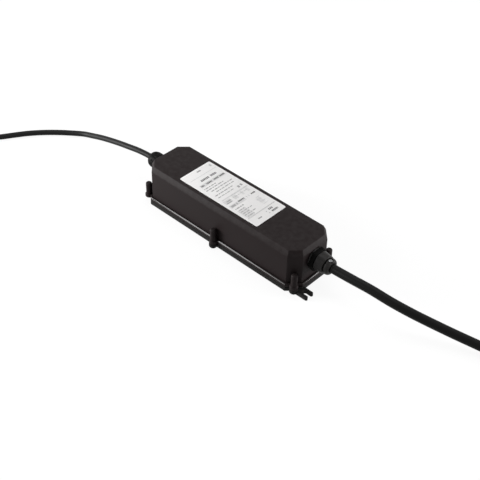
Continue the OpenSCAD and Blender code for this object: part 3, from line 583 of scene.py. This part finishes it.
def welded_copy(node, name):
    """A copy of one solid with its triangles welded and its flat faces made whole."""
    piece = bpy.data.objects.new(name, solids[node].data.copy())
    bpy.context.scene.collection.objects.link(piece)
    piece.data.materials.clear()
    alone(piece)
    bpy.ops.mesh.customdata_custom_splitnormals_clear()
    bpy.ops.object.mode_set(mode="EDIT")
    bpy.ops.mesh.select_all(action="SELECT")
    bpy.ops.mesh.remove_doubles(threshold=WELD_DISTANCE)
    bpy.ops.mesh.dissolve_limited(angle_limit=FLAT_ANGLE)
    bpy.ops.object.mode_set(mode="OBJECT")
    print("welded", name, "to", len(piece.data.polygons), "faces")
    return piece


# %% Round edges
def fully(face):
    """Marks a rounded face with 1, whichever face it is."""
    return 1.0


def round_edges(piece, width, segments=3, least_angle=24, wanted=None, mark="edge", amount=fully):
    """Bevels the convex edges and marks the new faces with a number that the finishes read."""
    alone(piece)
    bpy.ops.object.mode_set(mode="EDIT")
    bpy.ops.mesh.select_mode(type="EDGE")
    bpy.ops.mesh.select_all(action="DESELECT")
    mesh = bmesh.from_edit_mesh(piece.data)
    picked = 0
    for edge in mesh.edges:
        if len(edge.link_faces) == 2 and edge.calc_face_angle_signed() > radians(least_angle):
            middle = (edge.verts[0].co + edge.verts[1].co) / 2
            if wanted is None or wanted(middle):
                edge.select_set(True)
                picked += 1
    bmesh.update_edit_mesh(piece.data)
    bpy.ops.mesh.bevel(offset=width, segments=segments, profile=0.5, clamp_overlap=False)
    mesh = bmesh.from_edit_mesh(piece.data)
    layer = mesh.faces.layers.float.get(mark) or mesh.faces.layers.float.new(mark)
    for face in mesh.faces:
        face[layer] = amount(face) if face.select else face[layer]
    bmesh.update_edit_mesh(piece.data)
    bpy.ops.object.mode_set(mode="OBJECT")
    print("rounded", picked, "edges of", piece.name, "by", round(width / MM, 2), "mm")


# %% Finish a piece
SMOOTH_ANGLE = radians(38)


def finished(piece, material, slot, *nodes):
    """Smooth shading, a material and a body for a piece that stands for CAD nodes; the slot argument is not
    used.
    """
    alone(piece)
    bpy.ops.object.shade_smooth_by_angle(angle=SMOOTH_ANGLE)
    piece.data.materials.append(material)
    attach(piece, "root")
    if nodes:
        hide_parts(*nodes)
    print("made", piece.name, "with", len(piece.data.polygons), "faces")
    return piece


def rounded_copy(node, name, width, material, slot, **rounding):
    """A welded copy of one solid, with rounded edges and its finish."""
    piece = welded_copy(node, name)
    round_edges(piece, width, **rounding)
    return finished(piece, material, slot, node)


# %% [markdown]
# The cover is one moulding: eight walls, a sloped border round the top, a flange and six screw posts.
# The base carries four screw lobes and two fork lugs. Both are welded copies with rounded edges.
# The upper face of the flange lies a little higher on the real cover than on the solid, so it is lifted
# first, with the feet of all that stands on it. Then its rim gets a wide chamfer in one flat strip, and the
# other edges get their small radius. Only the long runs of the strip are glossy: on the short faces round a
# post or a corner the lamp would show as bright dots.

# %% Flange helpers
FLANGE_SOLID_TOP = 7.5 * MM
FLANGE_RISE = 1.6 * MM
FLANGE_TOP = FLANGE_SOLID_TOP + FLANGE_RISE
FLANGE_CHAMFER = 0.85 * MM
CHAMFER_REACH = 1.3 * FLANGE_CHAMFER
SAME_LEVEL = 0.05 * MM
SHORTEST_RUN = 20 * MM
SIDE_GLOSS = 1.0
END_GLOSS = 0.35


def raise_flange(piece):
    """Lifts the upper face of the flange, with the feet of the walls and posts that stand on it."""
    alone(piece)
    bpy.ops.object.mode_set(mode="EDIT")
    bpy.ops.mesh.select_mode(type="VERT")
    bpy.ops.mesh.select_all(action="DESELECT")
    mesh = bmesh.from_edit_mesh(piece.data)
    for corner in mesh.verts:
        if abs(corner.co.z - FLANGE_SOLID_TOP) < SAME_LEVEL:
            corner.select_set(True)
    bmesh.update_edit_mesh(piece.data)
    bpy.ops.transform.translate(value=(0, 0, FLANGE_RISE))
    bpy.ops.object.mode_set(mode="OBJECT")
    print("raised the flange by", round(FLANGE_RISE / MM, 2), "mm")


def on_flange_top(spot):
    return abs(spot.z - FLANGE_TOP) < SAME_LEVEL


def off_flange(spot):
    return abs(spot.z - FLANGE_TOP) > CHAMFER_REACH


def polish(face):
    """The long sides of the chamfer are glossy, its ends less so, and corners and posts are matte."""
    if max(edge.calc_length() for edge in face.edges) < SHORTEST_RUN:
        return 0.0
    return SIDE_GLOSS if abs(face.normal.y) > abs(face.normal.x) else END_GLOSS


# %% Cover and base
COVER_ROUNDING = 0.5 * MM
BASE_ROUNDING = 0.35 * MM
cover = welded_copy("cover", "moulded_cover")
raise_flange(cover)
round_edges(cover, FLANGE_CHAMFER, segments=1, wanted=on_flange_top, mark="strip", amount=polish)
round_edges(cover, COVER_ROUNDING, wanted=off_flange)
finished(cover, housing_black, "housing", "cover")
rounded_copy("base_plate", "moulded_base", BASE_ROUNDING, base_black, "base", segments=2)

# %% [markdown]
# A cable gland is a stack along the cable: a flat rubber washer, a hexagon body, and a nut that squeezes a
# seal onto the cable. The mains gland has a collar behind its nut, with a screw that pinches the cable. The
# nuts get the largest roundings, because they are the parts that fingers and spanners meet.

# %% Glands
BODY_ROUNDING = 0.35 * MM
WASHER_ROUNDING = 0.3 * MM
NUT_ROUNDING = 0.45 * MM
COLLAR_ROUNDING = 0.3 * MM
# Painted light and shade: the mains nut takes the lighter copy of the polyamide and the output nut the darker
# one.
nut_finish = {"mains": gland_plastic, "output": gland_nut_painted_shade}
# Painted shade: the hexagon bodies take the near black finish, which is painted partly for the shade at the
# end walls.
for end in ("mains", "output"):
    rounded_copy(end + "_gland_body", end + "_hexagon_body", BODY_ROUNDING, gland_shade, "gland")
    rounded_copy(end + "_gland_washer", end + "_flat_washer", WASHER_ROUNDING, seal_rubber, "rubber")
    rounded_copy(end + "_gland_nut", end + "_squeeze_nut", NUT_ROUNDING, nut_finish[end], "gland")
rounded_copy("strain_relief_collar", "pinch_collar", COLLAR_ROUNDING, gland_plastic, "gland")

# %% [markdown]
# Screws are bright zinc plated steel. Their heads are stamped, so the rims are soft, and a small bevel on
# each welded copy is enough to make the rim shine.

# %% Screws
SCREW_ROUNDING = 0.2 * MM
for node, name in (("cover_screws", "zinc_cover_screws"), ("pinch_screw", "zinc_pinch_screw")):
    rounded_copy(node, name, SCREW_ROUNDING, zinc_steel, "screw_steel", segments=2)

# %% [markdown]
# The rating label is a white film stuck on the top face. It starts as a plane: its corners are rounded with a
# vertex bevel, the sheet is extruded to its thickness, and the upper rim is softened.

# %% Label film
LABEL_LENGTH = 105.2 * MM
LABEL_WIDTH = 42 * MM
LABEL_X = -5.4 * MM
LABEL_CORNER = 1.5 * MM
TOP_Z = 47 * MM
FILM_THICKNESS = 0.2 * MM
FILM_ROUNDING = 0.05 * MM
FILM_TOP = TOP_Z + FILM_THICKNESS


def placed(name, size, spot):
    """Sizes and places the new primitive, with both kept in its mesh."""
    piece = bpy.context.object
    piece.name = name
    piece.scale = size
    piece.location = spot
    bpy.ops.object.transform_apply(location=True, rotation=True, scale=True)
    return piece


def on_upper_rim(spot):
    return spot.z > TOP_Z + 0.9 * FILM_THICKNESS


bpy.ops.object.select_all(action="DESELECT")
bpy.ops.mesh.primitive_plane_add(size=1)
film = placed("rating_film", (LABEL_LENGTH, LABEL_WIDTH, 1), (LABEL_X, 0, TOP_Z))
bpy.ops.object.mode_set(mode="EDIT")
bpy.ops.mesh.select_all(action="SELECT")
bpy.ops.mesh.bevel(offset=LABEL_CORNER, segments=8, affect="VERTICES")
bpy.ops.mesh.select_all(action="SELECT")
bpy.ops.mesh.extrude_region_move(TRANSFORM_OT_translate={"value": (0, 0, FILM_THICKNESS)})
bpy.ops.mesh.select_all(action="SELECT")
bpy.ops.mesh.normals_make_consistent(inside=False)
bpy.ops.object.mode_set(mode="OBJECT")
round_edges(film, FILM_ROUNDING, segments=2, wanted=on_upper_rim)
finished(film, label_film, "label", "label")

# %% [markdown]
# The print on the film is only fields and bars here: rows of short strokes stand for lines of small print.
# A row is a grid of cells along the width of the label, and the cells that would be spaces are deleted, which
# leaves words of plain ink. Each row starts at another cell, so that the spaces of two rows don't line up.
# A modifier gives the ink its film thickness. Haze fields lie lowest, with the strokes over them.

# %% Ink rows
INK_Z = FILM_TOP + 0.02 * MM
INK_THICKNESS = 0.02 * MM
HAZE_Z = FILM_TOP + 0.004 * MM
HAZE_THICKNESS = 0.01 * MM
SPACE_CYCLE = 40
WORD_SPACES = (4, 9, 12, 17, 23, 26, 31, 37)
NO_SPACES = ()
FEWEST_CELLS = 4
SHIFT_PER_MM = 7
ROW_SHIFTS = 5


def ink_row(x, y_low, y_high, stroke, cell=0.95, spaces=WORD_SPACES, height=INK_Z):
    """One line of print along Y at x: cells of ink with spaces between words. Sizes in millimetres."""
    cells = max(1, round((y_high - y_low) / cell))
    bpy.ops.object.select_all(action="DESELECT")
    bpy.ops.mesh.primitive_grid_add(x_subdivisions=1, y_subdivisions=cells, size=1)
    size = (stroke * MM, (y_high - y_low) * MM, 1)
    row = placed("ink_row", size, (x * MM, (y_low + y_high) / 2 * MM, height))
    bpy.ops.object.mode_set(mode="EDIT")
    bpy.ops.mesh.select_mode(type="FACE")
    bpy.ops.mesh.select_all(action="DESELECT")
    mesh = bmesh.from_edit_mesh(row.data)
    step = (y_high - y_low) * MM / cells
    first_cell = int(abs(x) * SHIFT_PER_MM) % ROW_SHIFTS
    for face in mesh.faces:
        index = int((face.calc_center_median().y - y_low * MM) / step)
        if cells >= FEWEST_CELLS and (index + first_cell) % SPACE_CYCLE in spaces:
            face.select_set(True)
    bmesh.update_edit_mesh(row.data)
    bpy.ops.mesh.delete(type="FACE")
    bpy.ops.object.mode_set(mode="OBJECT")
    return row


def ink_sheet(name, rows, material, thickness=INK_THICKNESS):
    """Joins rows of one ink and gives them thickness."""
    bpy.ops.object.select_all(action="DESELECT")
    for row in rows:
        row.select_set(True)
    bpy.context.view_layer.objects.active = rows[0]
    bpy.ops.object.join()
    sheet = bpy.context.object
    sheet.name = name
    thicken = sheet.modifiers.new("ink_thickness", "SOLIDIFY")
    thicken.thickness = thickness
    thicken.offset = 1
    bpy.ops.object.modifier_apply(modifier=thicken.name)
    return finished(sheet, material, "label")


# %% Titles
LETTER_CELL = 0.62
LETTER_SPACES = range(2, SPACE_CYCLE, 3)
titles = [
    (-39.8, -8.6, 1.9, 2.8), (-39.8, 4.6, 12.4, 2.8), (-33.0, 10.4, 17.6, 2.1), (-33.0, 2.4, 8.6, 2.1),
    (-33.0, -7.9, -0.3, 2.1), (-33.0, -15.2, -11.2, 2.1), (37.7, 6.2, 11.8, 2.3), (41.8, 6.2, 14.8, 2.3),
    (9.3, 11.8, 17.0, 2.0), (8.7, -5.8, 2.2, 2.0),
]
title_rows = [ink_row(*title, LETTER_CELL, LETTER_SPACES) for title in titles]
ink_sheet("print_titles", title_rows, ink_black)

# %% Small print and rules
RULE_CELL = 40.0
small_rows = [
    ink_row(-8.2, 13.9, 16.9, 3.2, 0.75, (1, 2)), ink_row(-7.6, 10.4, 13.0, 3.2, 0.65, (1, 2)),
    ink_row(-27.7, -16.2, -0.2, 1.2), ink_row(-24.5, -16.6, 8.4, 1.2), ink_row(-20.8, -13.0, 16.0, 1.2),
    ink_row(-17.0, -11.0, 15.4, 1.1), ink_row(-12.8, -16.8, 8.2, 1.2), ink_row(-8.7, -15.8, 5.4, 1.0),
    ink_row(15.5, -16.8, -5.6, 1.6), ink_row(19.2, -16.4, -7.6, 1.0), ink_row(22.2, -16.6, -1.0, 1.0),
    ink_row(25.1, -16.4, -6.8, 1.0), ink_row(28.0, -16.8, -2.0, 1.0), ink_row(31.0, -15.8, -7.0, 1.0),
    ink_row(-53.3, -1.2, 4.0, 1.9, 1.1, NO_SPACES), ink_row(40.5, -11.6, -6.6, 1.6, 1.1, NO_SPACES),
    ink_row(33.6, -18.4, 18.8, 0.35, RULE_CELL), ink_row(34.3, -18.4, 18.8, 0.25, RULE_CELL),
    ink_row(38.3, 1.6, 2.8, 1.0, 1.2, NO_SPACES), ink_row(10.0, -16.6, -8.4, 2.6, 1.3),
    ink_row(1.4, -14.8, -8.8, 1.6, 1.2, NO_SPACES), ink_row(3.9, -16.4, -10.0, 1.6, 1.2, NO_SPACES),
]
ink_sheet("print_small", small_rows, ink_grey)

# %% Pale marks and haze
pale_rows = [
    ink_row(-46.3, -17.0, 19.0, 0.4, RULE_CELL), ink_row(-2.4, -4.2, 18.6, 1.1),
    ink_row(1.2, -5.0, 15.4, 1.1), ink_row(-52.4, 15.6, 18.0, 3.6, 1.2, NO_SPACES),
    ink_row(16.8, 10.4, 14.8, 0.6, 1.1, NO_SPACES), ink_row(20.4, 8.4, 14.2, 0.6, 1.1),
    ink_row(24.6, 8.6, 15.8, 0.6, 1.1), ink_row(28.6, 9.2, 15.6, 0.6, 1.1),
    ink_row(42.0, 2.2, 4.0, 1.0, 1.2, NO_SPACES), ink_row(9.3, 5.0, 8.8, 2.8, 0.76, (1, 2, 3)),
]
ink_sheet("print_pale", pale_rows, ink_pale)
FIELD_CELL = 50.0
haze_fields = [
    (9.9, -18.1, 2.75, 4.6), (25.7, -17.7, -7.25, 14.6), (-33.0, -16.0, 17.3, 4.6),
    (-2.85, -16.8, 19.0, 1.7), (1.75, 13.2, 16.5, 5.9), (1.75, 5.7, 8.2, 5.9), (1.75, -5.2, -0.2, 5.9),
    (1.75, -17.7, -8.5, 5.9), (22.5, 8.8, 13.8, 9.0),
]
haze_rows = [ink_row(*field, FIELD_CELL, NO_SPACES, HAZE_Z) for field in haze_fields]
ink_sheet("print_haze", haze_rows, ink_haze, HAZE_THICKNESS)

# %% [markdown]
# Each lead ends in bared cores with tinned tips, ready for a terminal. The solids hold all cores of a lead in
# one node, so a welded copy is separated into its loose parts and each core gets its own colour.

# %% Cores and tips
CORE_ROUNDING = 0.25 * MM
CORE_LEAST_ANGLE = 50


def middle_of(core):
    """The mean place of a core's corners."""
    total = Vector((0, 0, 0))
    for vertex in core.data.vertices:
        total += vertex.co
    return total / len(core.data.vertices)


def sorting_place(core):
    return round(middle_of(core).x, 4), round(middle_of(core).y, 4)


def split_cores(node, names, materials, slot):
    """Separates the cores of a lead, sorts them along X and then Y, and colours each one."""
    bundle = welded_copy(node, "bared_cores")
    round_edges(bundle, CORE_ROUNDING, segments=2, least_angle=CORE_LEAST_ANGLE)
    alone(bundle)
    bpy.ops.object.mode_set(mode="EDIT")
    bpy.ops.mesh.select_all(action="SELECT")
    bpy.ops.mesh.separate(type="LOOSE")
    bpy.ops.object.mode_set(mode="OBJECT")
    cores = sorted(bpy.context.selected_objects, key=sorting_place)
    for core, name, material in zip(cores, names, materials):
        core.name = name
        finished(core, material, slot, node)
        print(name, "middle", [round(v, 4) for v in middle_of(core)])
    return cores


mains_names = ("core_a_brown", "core_b_earth", "core_c_blue")
mains_colours = (core_brown, earth_stripe, core_blue)
mains_cores = split_cores("mains_cores", mains_names, mains_colours, "mains_core")
output_cores = split_cores("output_cores", ("core_plus", "core_minus"), (core_red, core_black), "output_core")
for end in ("mains", "output"):
    tip = rounded_copy(end + "_core_tips", end + "_tinned_tips", CORE_ROUNDING, tinned_copper,
                       "tinned_copper", segments=2, least_angle=CORE_LEAST_ANGLE)

# %% [markdown]
# A lead can be laid another way when the part is used. Here each curve only takes the finish of its sheath.

mains_lead.data.materials.append(mains_sheath)
output_lead.data.materials.append(output_sheath)
print("declared", mains_lead.name, "and", output_lead.name)

# %% [markdown]
# What is left are the parts inside the sealed box and a few seals. Their solids already have the right shape,
# so they stay as they are and only take on a finish each.

# %% Finishes of the inner parts
inner_finishes = {
    "gasket": seal_rubber, "mains_gland_seal": seal_rubber, "output_gland_seal": seal_rubber,
    "mains_gland_locknut": gland_plastic, "output_gland_locknut": gland_plastic,
    "pressure_saddle": saddle_brass, "circuit_board": board_mask, "board_screws": zinc_steel,
    "insulating_sheet": insulation_film, "input_terminal": terminal_plastic,
    "output_terminal": terminal_plastic, "mains_inner_wires": core_brown, "output_inner_wires": core_red,
    "fuse": fuse_ceramic, "varistor": varistor_coat, "interference_capacitor": capacitor_case,
    "choke_ring": ferrite, "choke_windings": winding_wire, "bridge_rectifier": device_epoxy,
    "bulk_capacitor": capacitor_sleeve, "switching_transistor": device_epoxy,
    "transistor_heat_sink": sink_aluminium, "transformer_core": ferrite, "transformer_winding": coil_tape,
    "safety_capacitors": varistor_coat, "output_diode": device_epoxy, "diode_heat_sink": sink_aluminium,
    "output_capacitors": capacitor_sleeve, "optocoupler": device_epoxy, "control_chip": device_epoxy,
}
for node, finish in inner_finishes.items():
    for place in solids[node].material_slots:
        place.material = finish
print("finished", len(inner_finishes), "inner parts")

# %% [markdown]
# The picture is a product shot on white. A sweep that bends up behind the object is the usual backdrop, but
# this camera looks down, so a wide flat floor fills the view. Camera, glossy and transmission rays see part
# of it as plain white, and the rest is grey paper, which keeps the soft shadow under the box.

# %% Floor
FLOOR_SIZE = 12
FLOOR_Z = -0.1 * MM
WHITE = (1, 1, 1, 1)
PAPER_GREY = (0.5, 0.5, 0.5, 1)
GLOW_STRENGTH = 1.27
GLOW_SHARE = 0.7


def white_seen(tree):
    """1 for rays that should meet a white studio: camera, glossy and transmission rays."""
    path = wire(tree, "LightPath")
    seen = path.outputs["Is Camera Ray"]
    for ray in ("Is Glossy Ray", "Is Transmission Ray"):
        seen = wire(tree, "Math", {0: seen, 1: path.outputs[ray]}, operation="MAXIMUM").outputs[0]
    return seen


def floor_finish():
    """Paper that takes a shadow, mixed with white light for the rays that should see white."""
    made = bpy.data.materials.new("floor_paper")
    made.use_nodes = True
    tree = made.node_tree
    tree.nodes.clear()
    paper = wire(tree, "BsdfDiffuse", {"Color": PAPER_GREY})
    glow = wire(tree, "Emission", {"Color": WHITE, "Strength": GLOW_STRENGTH})
    share = wire(tree, "Math", {0: white_seen(tree), 1: GLOW_SHARE}, operation="MULTIPLY")
    both = wire(tree, "MixShader", {0: share.outputs[0], 1: paper.outputs[0], 2: glow.outputs[0]})
    wire(tree, "OutputMaterial", {"Surface": both.outputs[0]})
    return made


bpy.ops.object.select_all(action="DESELECT")
bpy.ops.mesh.primitive_grid_add(x_subdivisions=4, y_subdivisions=4, size=1)
floor = placed("studio_floor", (FLOOR_SIZE, FLOOR_SIZE, 1), (0, 0, FLOOR_Z))
floor.data.materials.append(floor_finish())
print("floor", floor.name)

# %% [markdown]
# The world is white where it is seen or mirrored, but as a light on the object it is ten times weaker, so
# that the lamps model the forms and the black stays black.

# %% World
WORLD_LIGHT = 0.1
WORLD_SEEN = 1.0


def studio_world():
    """A white surrounding that lights the object only faintly."""
    world = bpy.data.worlds.new("studio_world")
    world.use_nodes = True
    tree = world.node_tree
    tree.nodes.clear()
    level = wire(tree, "MapRange", {"Value": white_seen(tree), "To Min": WORLD_LIGHT, "To Max": WORLD_SEEN})
    sky = wire(tree, "Background", {"Color": WHITE, "Strength": level.outputs[0]})
    wire(tree, "OutputWorld", {"Surface": sky.outputs[0]})
    return world


bpy.context.scene.world = studio_world()
print("world", bpy.context.scene.world.name)

# %% [markdown]
# Four soft boxes light the driver. The low left one models the long side, the low right one the end with the
# mains gland and the far side, and the overhead one the top face and the label. The fourth is a narrow one
# that the chamfer of the flange mirrors as a bright line. An area lamp shines against its own Z axis, so a
# matrix of three axes aims it, as for the camera.

# %% Lamps
LAMP_TARGET = Vector((0, 0, 0.02))


def soft_lamp(name, spot, width, height, power):
    """A soft box that faces the middle of the object, with its width level."""
    lamp_data = bpy.data.lights.new(name, "AREA")
    lamp_data.shape = "RECTANGLE"
    lamp_data.size = width
    lamp_data.size_y = height
    lamp_data.energy = power
    lamp = bpy.data.objects.new(name, lamp_data)
    bpy.context.scene.collection.objects.link(lamp)
    out_axis = (Vector(spot) - LAMP_TARGET).normalized()
    level_axis = Vector((0, 0, 1)).cross(out_axis).normalized()
    lamp_turn = Matrix((level_axis, out_axis.cross(level_axis), out_axis)).transposed().to_4x4()
    lamp.matrix_world = Matrix.Translation(spot) @ lamp_turn
    print("lamp", name, power, "W")


soft_lamp("low_left", (-1.08, -0.82, 0.28), width=0.45, height=0.5, power=25)
soft_lamp("low_right", (1.0, 0.8, 0.3), width=0.6, height=0.5, power=16)
soft_lamp("overhead", (-0.2, 0.3, 1.4), width=0.8, height=0.8, power=5.9)
soft_lamp("rim_line", (-0.58, -0.84, 0.65), width=0.8, height=0.25, power=3.5)
bpy.context.scene.view_settings.view_transform = "Standard"
